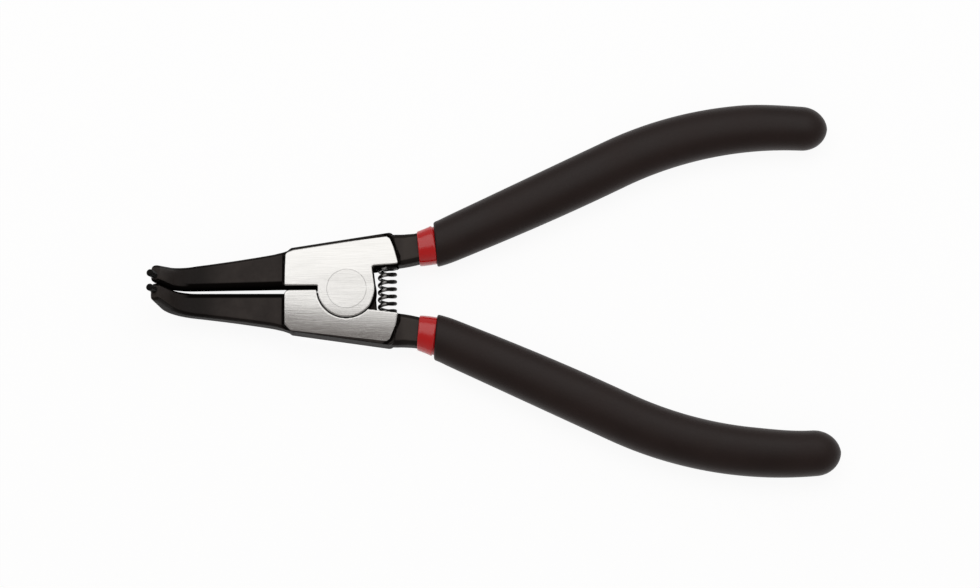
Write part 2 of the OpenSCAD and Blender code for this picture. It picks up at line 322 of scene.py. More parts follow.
def grip_width(s):
    if s < GRIP_WIDE_AT:
        u = clamp((s - GRIP_START) / (GRIP_WIDE_AT - GRIP_START))
        return mix(GRIP_MOUTH_W, GRIP_W, math.sin(math.pi / 2 * u))
    u = clamp((s - GRIP_WIDE_AT) / (DOME_START - GRIP_WIDE_AT))
    return mix(GRIP_W, GRIP_HEEL_W, 1 - math.cos(math.pi / 2 * u))


def grip_ring(s, k=1.0, inset=0.0, lean=0.0):
    """Grip's outer section at s, scaled by k and drawn in by inset."""
    w = grip_width(s) * k
    t = w * GRIP_FLAT
    return handle_ring(s, oval(w - 2 * inset, t - 2 * inset, GRIP_POWER), lean)


def skin(bm, rings, side=1):
    """Adds a closed skin through rings of points in millimetres; side -1 mirrors it in Y."""
    rows = [[bm.verts.new((x * MM, y * side * MM, z * MM)) for x, y, z in ring] for ring in rings]
    n = len(rows[0])
    for low, high in zip(rows, rows[1:]):
        for j in range(n):
            k = (j + 1) % n
            bm.faces.new((low[j], low[k], high[k], high[j]))
    bm.faces.new(rows[0])
    bm.faces.new(rows[-1])


def lathe(bm, profile, place, steps):
    """Turns (radius, height) points about an axis, placed by a matrix in millimetres."""
    rings = []
    for r, h in profile:
        ring = []
        for i in range(steps):
            a = 2 * math.pi * i / steps
            ring.append(tuple(place @ Vector((r * math.cos(a), r * math.sin(a), h))))
        rings.append(ring)
    skin(bm, rings)


def piece(name, bm, body, material, replaced):
    """Makes a mesh object of bm that rides on a body, if one is named, and stands for a CAD node."""
    bmesh.ops.recalc_face_normals(bm, faces=bm.faces)
    mesh = bpy.data.meshes.new(name)
    bm.to_mesh(mesh)
    bm.free()
    mesh.shade_smooth()
    mesh.materials.append(material)
    obj = bpy.data.objects.new(name, mesh)
    scene.collection.objects.link(obj)
    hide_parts(replaced)
    if body:
        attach(obj, body)
    return obj


def point_values(obj, name):
    """New number on each of an object's vertices."""
    return obj.data.attributes.new(name, "FLOAT", "POINT").data


def split_edges(obj, degrees):
    """Keeps edges that turn by more than this crisp."""
    split = obj.modifiers.new("flats", "EDGE_SPLIT")
    split.split_angle = math.radians(degrees)


def applied(obj):
    """Replaces an object's mesh by what its modifiers make of it."""
    graph = bpy.context.evaluated_depsgraph_get()
    mesh = bpy.data.meshes.new_from_object(obj.evaluated_get(graph))
    obj.modifiers.clear()
    old = obj.data
    obj.data = mesh
    bpy.data.meshes.remove(old)


class Nodes:
    """Short way to write one material's nodes."""

    def __init__(self, name):
        self.material = bpy.data.materials.new(name)
        self.material.use_nodes = True
        self.tree = self.material.node_tree
        self.shader = self.tree.nodes["Principled BSDF"]

    def add(self, kind, **values):
        node = self.tree.nodes.new(kind)
        for key, value in values.items():
            if hasattr(node, key):
                setattr(node, key, value)
            else:
                node.inputs[key.replace("_", " ")].default_value = value
        return node

    def link(self, source, target):
        self.tree.links.new(source, target)

    def shade(self, name, value):
        """Gives an input of the shader a socket's value or a constant."""
        if isinstance(value, bpy.types.NodeSocket):
            self.link(value, self.shader.inputs[name])
        else:
            self.shader.inputs[name].default_value = value

    def place(self, scale=(1, 1, 1), turn=(0, 0, 0)):
        """Object coordinates, stretched and turned."""
        where = self.add("ShaderNodeTexCoord")
        mapping = self.add("ShaderNodeMapping")
        mapping.inputs["Scale"].default_value = scale
        mapping.inputs["Rotation"].default_value = turn
        self.link(where.outputs["Object"], mapping.inputs["Vector"])
        return mapping.outputs["Vector"]

    def noise(self, vector, scale, detail, roughness):
        node = self.add("ShaderNodeTexNoise", Scale=scale, Detail=detail, Roughness=roughness)
        self.link(vector, node.inputs["Vector"])
        return node.outputs["Fac"]

    def ramp(self, fac, stops):
        """Colour ramp over (position, colour) stops; a number stands for a grey."""
        node = self.add("ShaderNodeValToRGB")
        for element, (position, colour) in zip(node.color_ramp.elements, stops):
            element.position = position
            grey = isinstance(colour, (int, float))
            element.color = (colour, colour, colour, 1) if grey else (*colour, 1)
        self.link(fac, node.inputs["Fac"])
        return node.outputs["Color"]

    def tones(self, noise, low, high):
        """Ramp between two colours over the usual span of a noise."""
        return self.ramp(noise, [(0.3, low), (0.7, high)])

    def blend(self, fac, a, b, mode="MIX"):
        """Mix of two colours, each a socket or a colour, by the mix node's colour sockets."""
        node = self.add("ShaderNodeMix", data_type="RGBA", blend_type=mode)
        for socket, value in zip((node.inputs[0], node.inputs[6], node.inputs[7]), (fac, a, b)):
            if isinstance(value, bpy.types.NodeSocket):
                self.link(value, socket)
            else:
                socket.default_value = value if isinstance(value, (int, float)) else (*value, 1)
        return node.outputs[2]

    def bump(self, height, strength, distance):
        node = self.add("ShaderNodeBump", Strength=strength, Distance=distance)
        self.link(height, node.inputs["Height"])
        self.link(node.outputs["Normal"], self.shader.inputs["Normal"])

    def attribute(self, name):
        return self.add("ShaderNodeAttribute", attribute_name=name).outputs["Fac"]

    def math(self, operation, a, b):
        """One sum on two sockets or a socket and a number."""
        node = self.add("ShaderNodeMath", operation=operation)
        for socket, value in zip(node.inputs, (a, b)):
            if isinstance(value, bpy.types.NodeSocket):
                self.link(value, socket)
            else:
                socket.default_value = value
        return node.outputs[0]

    def plan(self):
        """Place on the lever in its plan: X, and Y without its sign, in metres."""
        where = self.add("ShaderNodeTexCoord")
        apart = self.add("ShaderNodeSeparateXYZ")
        self.link(where.outputs["Object"], apart.inputs[0])
        joined = self.add("ShaderNodeCombineXYZ")
        self.link(apart.outputs["X"], joined.inputs["X"])
        self.link(self.math("ABSOLUTE", apart.outputs["Y"], 0.0), joined.inputs["Y"])
        return joined.outputs[0]

    def inside(self, plan, a, b):
        """Distance in millimetres to the right of the line from a to b in the plan."""
        ahead = (Vector(b) - Vector(a)).normalized()
        node = self.add("ShaderNodeVectorMath", operation="DOT_PRODUCT")
        node.inputs[1].default_value = (ahead.y / MM, -ahead.x / MM, 0)
        self.link(plan, node.inputs[0])
        return self.math("SUBTRACT", node.outputs["Value"], ahead.y * a[0] - ahead.x * a[1])

    def step(self, value, low, high):
        """Smooth step from 0 at low to 1 at high."""
        node = self.add("ShaderNodeMapRange", interpolation_type="SMOOTHSTEP")
        self.link(value, node.inputs["Value"])
        node.inputs["From Min"].default_value = low
        node.inputs["From Max"].default_value = high
        return node.outputs["Result"]


# Lines in the plan where the steel's finish, or the shade and light painted on it, changes, and the
# millimetres over which it does
GROUND_SIDE = ((-14.15, 10.65), (10.2, 13.65))
GROUND_ENDS = [((-15.75, 0), (-15.75, 9)), ((-15.75, 9.1), (-14.15, 10.7)),
               ((10.2, 13.65), (11.2, 12.9)), ((10.9, 13.3), (12.85, 8.6)), ((12.95, 8), (12.95, 6))]
GROUND_FADE = 0.04
# painted shade: the steel is painted darker in a band this wide just outside the ground faces' front
# and rear ends, where the corners by the head lie in shade
CORNER_SHADE = 0.65
# painted shade: a dark strip on the faces next to the slot, inside this line along each jaw's inner
# edge, stopping at STRIP_END before the noses
STRIP_LINE = ((-16, 2.1), (-38.8, 1.8))
STRIP_FADE = (-0.15, 0.3)
STRIP_END = ((-40, 9), (-40, 0))
STRIP_END_FADE = (0.0, 2.0)
# painted shade: the steel is painted darker within these millimetres of the jaws' bend
BEND_LINE = ((-39, 9), (-39, 0))
BEND_FADE = (1.0, 9.0)
# painted light: the shank behind this line is painted lighter, as if better lit
SHANK_LINE = ((13, 0), (13, 9))
SHANK_FADE = (0.0, 2.0)

# Steel's colours, painted shade and painted light among them, the turn of its grinding marks and the
# depth of its relief in metres
# painted shade: near black laid on walls and edges that the light misses, in the corners by the head
# and along the jaws' inner edges
WALL_PAINTED_SHADE = (0.006, 0.005, 0.0045)
BEND_PAINTED_SHADE = (0.024, 0.0195, 0.0175)
SHANK_PAINTED_LIGHT = (0.100, 0.084, 0.074)
SHANK_SHARE = 0.6
WORN_EDGE = (0.16, 0.15, 0.14)
GROUND_DARK = (0.85, 0.845, 0.82)
GROUND_LIGHT = (0.94, 0.935, 0.91)
MIDDLE_GREY = (0.5, 0.5, 0.5)
GRIND_TURN = (0, 0, 0.06)
STEEL_RELIEF = 0.00004
WIRE_RELIEF = 0.00002
VINYL_RELIEF = 0.00008


def steel_material(name, oxide_dark, oxide_light):
    """Black oxide over forged steel: bright ground faces, worn edges, sheen on flats and matt walls;
    painted shade darkens the walls, the corners by the head, the jaws' inner edges and the bend, and
    painted light brightens the shank.
    """
    m = Nodes(name)
    at = m.place()
    cloud = m.noise(at, 260, 5, 0.55)
    scale = m.noise(at, 2400, 3, 0.6)
    grind = m.noise(m.place((160, 5200, 160), GRIND_TURN), 1, 3, 0.6)
    smear = m.noise(m.place((60, 420, 60), GRIND_TURN), 1, 4, 0.6)

    plan = m.plan()
    ends = m.inside(plan, *GROUND_ENDS[0])
    for line in GROUND_ENDS[1:]:
        ends = m.math("MINIMUM", ends, m.inside(plan, *line))
    ground = m.math("MINIMUM", ends, m.inside(plan, *GROUND_SIDE))
    polish = m.math("MULTIPLY", m.attribute("polish"), m.step(ground, -GROUND_FADE, GROUND_FADE))

    # painted shade: near black in a band along the ground faces' ends, in the corners by the head, but
    # not on the side walls
    clear = m.math("ABSOLUTE", m.math("ADD", ends, CORNER_SHADE / 2), 0.0)
    clear_of_corner_shade = m.math("MAXIMUM", m.step(clear, CORNER_SHADE / 2, CORNER_SHADE), m.attribute("side_wall"))
    painted_light_and_sheen = m.math("MULTIPLY", m.attribute("painted_light_and_sheen"), clear_of_corner_shade)
    # painted shade: the strip along each jaw's inner edge is painted near black
    past_shade_strip = m.math("MAXIMUM", m.step(m.inside(plan, *STRIP_LINE), *STRIP_FADE),
                        m.step(m.inside(plan, *STRIP_END), *STRIP_END_FADE))
    painted_light_and_sheen = m.math("MULTIPLY", painted_light_and_sheen, past_shade_strip)

    oxide = m.tones(cloud, oxide_dark, oxide_light)
    # painted shade at the jaws' bend
    at_bend = m.math("ABSOLUTE", m.inside(plan, *BEND_LINE), 0.0)
    oxide = m.blend(m.step(at_bend, *BEND_FADE), BEND_PAINTED_SHADE, oxide)
    # painted light: the shank is painted lighter
    on_shank = m.math("MULTIPLY", m.step(m.inside(plan, *SHANK_LINE), *SHANK_FADE), SHANK_SHARE)
    oxide = m.blend(on_shank, oxide, SHANK_PAINTED_LIGHT)
    # painted shade: where the painted light and sheen mark is low, on walls, edges, corners and the
    # jaws' inner strips, the oxide is painted near black
    oxide = m.blend(painted_light_and_sheen, WALL_PAINTED_SHADE, oxide)
    broken = m.ramp(m.noise(at, 1500, 4, 0.7), [(0.45, 0.0), (0.75, 1.0)])
    worn = m.blend(1.0, m.attribute("wear_and_glint"), broken, "MULTIPLY")
    oxide = m.blend(worn, oxide, WORN_EDGE)

    m.shade("Base Color", m.blend(polish, oxide, m.tones(grind, GROUND_DARK, GROUND_LIGHT)))
    m.shade("Metallic", m.blend(polish, m.ramp(worn, [(0, 0.0), (1, 0.7)]), (1, 1, 1)))
    m.shade("Specular IOR Level", m.ramp(painted_light_and_sheen, [(0.0, 0.0), (1.0, 0.2)]))
    dull = m.tones(scale, 0.48, 0.62)
    shiny = m.ramp(smear, [(0.25, 0.17), (0.75, 0.27)])
    m.shade("Roughness", m.blend(polish, dull, shiny))
    forged = m.blend(0.5, cloud, scale)
    m.bump(m.blend(polish, forged, m.blend(0.92, MIDDLE_GREY, grind)), 0.35, STEEL_RELIEF)
    return m.material


def wire_material():
    """Black drawn wire with a painted glint: bright bare metal where the mesh's mark says so."""
    m = Nodes("spring_wire")
    drawn = m.noise(m.place((900, 900, 900)), 1, 4, 0.6)
    wear_and_glint = m.attribute("wear_and_glint")
    black = m.tones(drawn, (0.010, 0.0095, 0.009), (0.020, 0.019, 0.018))
    bare = m.tones(drawn, (0.62, 0.615, 0.60), (0.78, 0.775, 0.76))
    m.shade("Base Color", m.blend(wear_and_glint, black, bare))
    m.shade("Metallic", wear_and_glint)
    m.shade("Roughness", m.tones(drawn, 0.22, 0.34))
    m.shade("Specular IOR Level", 0.1)
    m.bump(drawn, 0.15, WIRE_RELIEF)
    return m.material


def pin_material():
    """Black turned steel."""
    m = Nodes("tip_pin_steel")
    cloud = m.noise(m.place(), 900, 4, 0.6)
    turned = m.noise(m.place((200, 200, 6000)), 1, 2, 0.5)
    m.shade("Base Color", m.tones(cloud, (0.007, 0.0065, 0.006), (0.016, 0.015, 0.014)))
    m.shade("Roughness", m.tones(turned, 0.26, 0.40))
    m.shade("Specular IOR Level", 0.08)
    m.bump(turned, 0.2, WIRE_RELIEF)
    return m.material


def vinyl_material(name, dark, light, rough, grain, gloss, coat):
    """Dipped vinyl: a slight wander of tone, fine grain and faint flow marks."""
    m = Nodes(name)
    at = m.place()
    drift = m.noise(at, 90, 4, 0.5)
    pores = m.noise(at, 3200, 3, 0.6)
    flow = m.noise(m.place((30, 240, 240)), 1, 3, 0.5)
    m.shade("Base Color", m.tones(drift, dark, light))
    uneven = m.blend(0.5, drift, pores)
    m.shade("Roughness", m.ramp(uneven, [(0.35, rough - 0.05), (0.65, rough + 0.06)]))
    m.shade("Specular IOR Level", gloss)
    m.shade("Coat Weight", coat)
    m.shade("Coat Roughness", 0.12)
    m.bump(m.blend(0.35, pores, flow), grain, VINYL_RELIEF)
    return m.material


black_steel = steel_material("black_steel", (0.046, 0.0370, 0.0335), (0.070, 0.0580, 0.0520))
polished = steel_material("polished_steel", (0.02, 0.018, 0.016), (0.03, 0.027, 0.024))
wire = wire_material()
pin_steel = pin_material()
red_vinyl = vinyl_material("red_vinyl", (0.84, 0.011, 0.013), (0.94, 0.015, 0.017),
                           rough=0.20, grain=0.05, gloss=0.8, coat=0.2)
black_vinyl = vinyl_material("black_vinyl", (0.021, 0.0100, 0.0078), (0.028, 0.0138, 0.0110),
                             rough=0.48, grain=0.16, gloss=0.42, coat=0.0)

# Levers: slabs of the two halves of the head's thickness, jaw and tang, remeshed into one forging
VOXEL = 0.17
KEEP_FACES = 0.47
ARC_STEP = 3
EDGE_STEPS = 6
CORNER_STEPS = 7
OUTLINE_STEP = 0.5
JAW_ROWS = 40
BEND_ROWS = 18
NOSE_ROWS = 12
NOSE_END_ROWS = 8
TANG_ROWS = 96
BORE_STEPS = 144
BORE_ANGLES = [math.radians(360 * i / BORE_STEPS) for i in range(BORE_STEPS)]
CUT_PAST = 1
SEAT_PAST = 2

# Radii of the edges round the head's faces, and of the corners in its plan
END_EDGE = 0.5
SLOT_EDGE = 0.15
DISC_EDGE = 0.05
REAR_DISC_EDGE = 0.6
ROOT_R = 0.3
REAR_INNER_R = 0.6
REAR_OUTER_R = 1.3
HEAD_END_R = 1.2

# Where the disc's arc faces the spring, and where it leaves or meets its lever
REAR_ARC = 315
REAR_ARC_RAMP = 25
DISC_LEAVES = 12
REAR_MEETS = 0.7

# Web that joins the two halves in front of the disc
WEB_INSET = 0.05
WEB_BEHIND = 1
WEB_OUT = 9
WEB_FRONT_R = 0.4
WEB_REAR_R = 0.2
WEB_EDGE = 0.1
WEB_LOW = 1

# Crown of the ground faces: its start, its strength, its middle line and its run-outs
CROWN_FROM = 3.5
CROWN = 0.0060
CROWN_AT = 3.4
CROWN_FRONT_RUN = 2
CROWN_REAR_RUN = 3

# How the finish, and the painted light and shade on flats, walls and edges, follow the mesh
SHARP_ANGLE = math.radians(50)
HEAD_INSET = 0.1
POLISH_DEPTH = 0.08
POLISH_FADE = 0.06
WEAR_FROM = 0.10
WEAR_GAIN = 4
NOSE_FADE = 2
FLAT_FROM = 0.925
FLAT_FADE = 0.06
WALL_FROM = 0.8
WALL_FADE = 0.15
OUTWARD_FROM = 0.15
# painted light: the share of the lit oxide colour, and of the sheen, that outer edges and walls keep;
# inner ones stay in painted shade
EDGE_LIGHT_AND_SHEEN = 0.3
WALL_LIGHT_AND_SHEEN = 0.36

RIGHT_PLAN = dict(slot=JAW_GAP / 2, front_r=0.5, outer_edge=1.2,
                  front_w=HEAD_FRONT_W + 0.1, rear_w=HEAD_REAR_W + 0.5, root_x=6.75)
LEFT_PLAN = dict(slot=JAW_GAP / 2 - 0.6, front_r=1.3, outer_edge=0.25,
                 front_w=HEAD_FRONT_W - 0.15, rear_w=HEAD_REAR_W + 0.2, root_x=7.6)


def rounded(corners):
    """Outline through (x, y, radius, edge) corners, each turned on its radius: points (x, y, edge)."""
    points = []
    n = len(corners)
    for i, (x, y, r, edge) in enumerate(corners):
        p = Vector((x, y))
        if r == 0:
            points.append((x, y, edge))
            continue
        a = (Vector(corners[i - 1][:2]) - p).normalized()
        b = (Vector(corners[(i + 1) % n][:2]) - p).normalized()
        half = a.angle(b) / 2
        centre = p + (a + b).normalized() * (r / math.sin(half))
        first = p + a * (r / math.tan(half)) - centre
        last = p + b * (r / math.tan(half)) - centre
        turn = first.angle_signed(last)
        for k in range(CORNER_STEPS + 1):
            angle = -turn * k / CORNER_STEPS
            c, s = math.cos(angle), math.sin(angle)
            points.append((centre.x + c * first.x - s * first.y,
                           centre.y + s * first.x + c * first.y, edge))
    return points


def arc(r, start, end, edge, spring_edge):
    """Corners along an arc, their edge growing to spring_edge where the arc faces the spring."""
    n = max(2, round(abs(end - start) / ARC_STEP))
    corners = []
    for degrees in spread(start, end, n):
        a = math.radians(degrees)
        grown = mix(edge, spring_edge, smooth((degrees - REAR_ARC) / REAR_ARC_RAMP))
        corners.append((r * math.cos(a), r * math.sin(a), 0, grown))
    return corners


def densify(points):
    """Adds points along long straight stretches of an outline."""
    dense = []
    for (x0, y0, e0), (x1, y1, e1) in zip(points, points[1:] + points[:1]):
        n = max(1, math.ceil(math.hypot(x1 - x0, y1 - y0) / OUTLINE_STEP))
        dense += [(mix(x0, x1, k / n), mix(y0, y1, k / n), mix(e0, e1, k / n)) for k in range(n)]
    return dense


def rear_edge(x):
    """Distance of the lever's rear inner edge from the middle of the tool."""
    return REAR_HALF + REAR_RISE * ((x - DISC_R) / (HEAD_REAR - DISC_R) - 0.5)


def half_outline(has_disc, slot, front_r, outer_edge, front_w, rear_w, root_x):
    """Plan of one half of the head's thickness, counter-clockwise, for the +Y lever."""
    r = DISC_R if has_disc else DISC_R + DISC_GAP
    front = 180 - math.degrees(math.asin(slot / r))
    if has_disc:
        ring = arc(r, front, 360 + DISC_LEAVES, DISC_EDGE, REAR_DISC_EDGE)
        ring += [(root_x, rear_edge(root_x), ROOT_R, REAR_DISC_EDGE)]
    else:
        rear = math.degrees(math.asin(rear_edge(r * REAR_MEETS) / r))
        ring = arc(r, front, rear, DISC_EDGE, DISC_EDGE)
    corners = [(-HEAD_FRONT, slot, front_r, SLOT_EDGE)] + ring
    corners += [(HEAD_REAR, rear_edge(HEAD_REAR), REAR_INNER_R, SLOT_EDGE),
                (HEAD_REAR, REAR_HALF + HEAD_REAR_LEAN, HEAD_END_R, END_EDGE),
                (HEAD_REAR - HEAD_REAR_LEAN, rear_w, REAR_OUTER_R, outer_edge),
                (HEAD_CORNER - HEAD_FRONT, front_w, HEAD_END_R, outer_edge),
                (-HEAD_FRONT, front_w - HEAD_CORNER, HEAD_END_R, END_EDGE)]
    return densify(rounded(corners))


def slab(bm, outline, low, high, round_low, side):
    """Extrudes an outline from low to high with one of its two faces rounded over at the edge."""
    n = len(outline)
    inward = []
    for i in range(n):
        dx = outline[(i + 1) % n][0] - outline[i - 1][0]
        dy = outline[(i + 1) % n][1] - outline[i - 1][1]
        length = math.hypot(dx, dy)
        inward.append((-dy / length, dx / length))
    levels = [0.0] + spread(0, 90, EDGE_STEPS)
    rings = []
    for k, angle in enumerate(levels):
        a = math.radians(angle)
        ring = []
        for (x, y, edge), (nx, ny) in zip(outline, inward):
            inset = 0 if k == 0 else edge * (1 - math.cos(a))
            rise = 0 if k == 0 else (high - low - edge) + edge * math.sin(a)
            z = high - rise if round_low else low + rise
            ring.append((x + nx * inset, y + ny * inset, z))
        rings.append(ring)
    skin(bm, rings, side)


def bore_cut(obj, side):
    """Cuts the rivet's room and the spring's seat out of a lever."""
    bm = bmesh.new()
    skin(bm, [[(RIVET_CUT * math.cos(a), RIVET_CUT * math.sin(a), z) for a in BORE_ANGLES]
              for z in (-CUT_PAST, HEAD_T + CUT_PAST)])
    skin(bm, [[(SPRING_X + SEAT_R * math.cos(a), y * side, MID_Z + SEAT_R * math.sin(a))
               for a in BORE_ANGLES] for y in (REAR_HALF - SEAT_PAST, SEAT_Y)])
    bmesh.ops.recalc_face_normals(bm, faces=bm.faces)
    mesh = bpy.data.meshes.new("cutter")
    bm.to_mesh(mesh)
    bm.free()
    cutter = bpy.data.objects.new("cutter", mesh)
    scene.collection.objects.link(cutter)
    cut = obj.modifiers.new("cut", "BOOLEAN")
    cut.operation = "DIFFERENCE"
    cut.object = cutter
    applied(obj)
    bpy.data.objects.remove(cutter)


def crown(x, y):
    """How much of the head's thickness its grinding leaves, less towards its outer edges."""
    reach = (smooth((x + HEAD_FRONT + CROWN_FRONT_RUN) / CROWN_FRONT_RUN)
             * smooth((HEAD_REAR + CROWN_REAR_RUN - x) / CROWN_REAR_RUN))
    across = y - HEAD_SLOPE * (x - CROWN_AT)
    return 1 - CROWN * max(0.0, across - CROWN_FROM) ** 2 * reach / MID_Z


def dress_lever(obj, side):
    """Marks what is polished, what is worn, and the painted light and sheen: flats lit, inner walls
    and edges in painted shade, outer ones partly lit.
    """
    mesh = obj.data
    mesh.shade_smooth()
    mesh.set_sharp_from_angle(angle=SHARP_ANGLE)
    for name in ("polish", "wear_and_glint", "painted_light_and_sheen", "side_wall"):
        point_values(obj, name)
    polish, wear_and_glint, painted_light_and_sheen, side_wall = (mesh.attributes[name].data
                                      for name in ("polish", "wear_and_glint", "painted_light_and_sheen", "side_wall"))
    bm = bmesh.new()
    bm.from_mesh(mesh)
    for i, v in enumerate(bm.verts):
        x, y, z = v.co.x / MM, abs(v.co.y) / MM, v.co.z / MM
        top = abs(z - MID_Z) / crown(x, y)
        on_head = -HEAD_FRONT + HEAD_INSET < x < HEAD_REAR
        polish[i].value = smooth((top - MID_Z + POLISH_DEPTH) / POLISH_FADE) if on_head else 0.0
        edge = sum(e.calc_face_angle(0.0) for e in v.link_edges) / len(v.link_edges)
        wear_and_glint[i].value = clamp((edge - WEAR_FROM) * WEAR_GAIN)
        nose = smooth((-JAW_LEN - x) / NOSE_FADE)
        flat = math.hypot(v.normal.z, v.normal.x * nose)
        outward = v.normal.y * side
        wall = smooth((abs(outward) - WALL_FROM) / WALL_FADE)
        value = smooth((flat - FLAT_FROM) / FLAT_FADE)
        # painted light: flats are fully lit, inner walls and edges stay in painted shade, outer edges
        # and walls keep some light
        if outward > OUTWARD_FROM or x > HEAD_REAR:
            value = max(value, EDGE_LIGHT_AND_SHEEN, WALL_LIGHT_AND_SHEEN * wall)
        painted_light_and_sheen[i].value = value
        side_wall[i].value = wall
    bm.free()


def lever(name, side, body, disc_in_front, plan):
    """One forging: head, web, jaw and tang as solids that overlap, made into one mesh and bored."""
    bm = bmesh.new()
    lap = MID_Z + (LAP_GAP / 2 if disc_in_front else -LAP_GAP / 2)
    slab(bm, half_outline(disc_in_front, **plan), lap, HEAD_T, False, side)
    slab(bm, half_outline(not disc_in_front, **plan), 0, lap, True, side)
    web_in = JAW_GAP / 2 + WEB_INSET
    web = [(-HEAD_FRONT + WEB_INSET, web_in, WEB_FRONT_R, WEB_EDGE),
           (-DISC_R - WEB_BEHIND, web_in, WEB_REAR_R, WEB_EDGE),
           (-DISC_R - WEB_BEHIND, WEB_OUT, WEB_REAR_R, WEB_EDGE),
           (-HEAD_FRONT + WEB_INSET, WEB_OUT, WEB_FRONT_R, WEB_EDGE)]
    slab(bm, densify(rounded(web)), WEB_LOW, HEAD_T - WEB_LOW, False, side)
    bend_end = jaw_straight + bend_run
    stations = (spread(0, jaw_straight, JAW_ROWS)
                + spread(jaw_straight, bend_end, BEND_ROWS)[1:]
                + spread(bend_end, jaw_total - NOSE_ROUND, NOSE_ROWS)[1:])
    rings = [jaw_ring(s) for s in stations]
    for a in spread(0, math.pi / 2, NOSE_END_ROWS)[1:]:
        rings.append(jaw_ring(jaw_total - NOSE_ROUND * (1 - math.sin(a)),
                              NOSE_ROUND * (1 - math.cos(a))))
    skin(bm, rings, side)
    skin(bm, [coat_ring(s, 0) for s in spread(-TANG_INSIDE, TANG_LEN, TANG_ROWS)], side)
    obj = piece(name + "_steel", bm, body, black_steel, name)
    remesh = obj.modifiers.new("remesh", "REMESH")
    remesh.mode = "VOXEL"
    remesh.voxel_size = VOXEL * MM
    relax = obj.modifiers.new("relax", "SMOOTH")
    relax.factor = 0.5
    relax.iterations = 3
    applied(obj)
    for v in obj.data.vertices:
        left = crown(v.co.x / MM, abs(v.co.y) / MM)
        v.co.z = (MID_Z + (v.co.z / MM - MID_Z) * left) * MM
    thin = obj.modifiers.new("thin", "DECIMATE")
    thin.ratio = KEEP_FACES
    applied(obj)
    bore_cut(obj, side)
    dress_lever(obj, side)


lever("right_lever", 1, "right_side", True, RIGHT_PLAN)
lever("left_lever", -1, "left_side", False, LEFT_PLAN)

# Rivet, flush in both faces, with its rim eased so that its ring shows
FLUSH = -0.012
FACE_RINGS = (0.02, 1.5, 3.5, 4.5, RIVET_R)
RIM = 0.05
RIM_TOP = 0.03
RIM_FOOT = 0.35
bm = bmesh.new()
profile = [(r, FLUSH) for r in FACE_RINGS]
profile += [(RIVET_R + RIM, RIM_TOP), (RIVET_R - RIM, RIM_FOOT), (RIVET_SHANK_R, RIVET_HEAD_H)]
profile += [(r, HEAD_T - h) for r, h in reversed(profile)]
lathe(bm, profile, Matrix.Identity(4), BORE_STEPS)
rivet = piece("pivot_rivet_turned", bm, "right_side", polished, "pivot_rivet")
for shine in point_values(rivet, "polish"):
    shine.value = 1.0
split_edges(rivet, 20)

# Tip pins
PIN_STEPS = 64
PIN_FOOT = 0.02
PIN_EASE = 0.06
PIN_CENTRE = 0.01
x, z, heading = walk(jaw_start, MID_Z, 0.0, JAW_RUNS, jaw_total)
lean = Matrix.Rotation(math.radians(heading - 90), 4, "Y")
tip = [(PIN_R - PIN_BEVEL + PIN_BEVEL * math.cos(a), PIN_OUT - PIN_BEVEL + PIN_BEVEL * math.sin(a))
       for a in spread(0, math.pi / 2, 5)]
profile = [(PIN_CENTRE, -PIN_IN), (PIN_STEM_R, -PIN_IN), (PIN_STEM_R, PIN_FOOT),
           (PIN_R - PIN_EASE, PIN_FOOT), (PIN_R, PIN_FOOT + PIN_EASE),
           (PIN_R, PIN_OUT / 3), (PIN_R, PIN_OUT * 2 / 3)]
profile += tip + [(PIN_R / 3, PIN_OUT), (PIN_CENTRE, PIN_OUT)]
for side, name, body in ((1, "right_tip_pin", "right_side"), (-1, "left_tip_pin", "left_side")):
    bm = bmesh.new()
    lathe(bm, profile, Matrix.Translation((-x, side * PIN_Y, z)) @ lean, PIN_STEPS)
    pin = piece(name + "_turned", bm, body, pin_steel, name)
    split_edges(pin, 35)

# Return spring: round wire, its ends closed up, drawn along its own helix
COIL_STEPS = 40
WIRE_SIDES = 16
SLOPE_STEP = 0.01
END_SCALE = 0.9
# painted glint: the front top of the coil, where the wire is drawn as bright bare metal, and the fades
# round it
GLINT_FRONT = 0.05
GLINT_FRONT_FADE = 0.25
GLINT_HIGH = 0.2
GLINT_HIGH_FADE = 0.6
coil_r = SPRING_R - WIRE_R
length = 2 * (SPRING_END - WIRE_R)
open_pitch = (length - 2 * CLOSED_TURNS * CLOSED_PITCH) / OPEN_TURNS
turns = OPEN_TURNS + 2 * CLOSED_TURNS


def coil_y(turn):
    """Y of the wire's middle after so many turns."""
    opened = open_pitch * max(0.0, min(turn - CLOSED_TURNS, OPEN_TURNS))
    shut = min(turn, CLOSED_TURNS) + max(0.0, turn - CLOSED_TURNS - OPEN_TURNS)
    return -length / 2 + opened + CLOSED_PITCH * shut


rings = []
count = round(turns * COIL_STEPS)
round_run = 2 * math.pi * coil_r
for i in range(count + 1):
    turn = i / COIL_STEPS
    a = 2 * math.pi * turn
    out = Vector((math.cos(a), 0, -math.sin(a)))
    slope = (coil_y(turn + SLOPE_STEP) - coil_y(turn - SLOPE_STEP)) / (2 * SLOPE_STEP)
    ahead = Vector((-math.sin(a) * round_run, slope, -math.cos(a) * round_run)).normalized()
    side_way = ahead.cross(out)
    middle = Vector((SPRING_X, coil_y(turn), MID_Z)) + out * coil_r
    r = WIRE_R * (END_SCALE if i in (0, count) else 1.0)
    rings.append([tuple(middle + out * (r * math.cos(b)) + side_way * (r * math.sin(b)))
                  for b in [2 * math.pi * j / WIRE_SIDES for j in range(WIRE_SIDES)]])
bm = bmesh.new()
skin(bm, rings)
spring = piece("return_spring_coil", bm, None, wire, "return_spring")
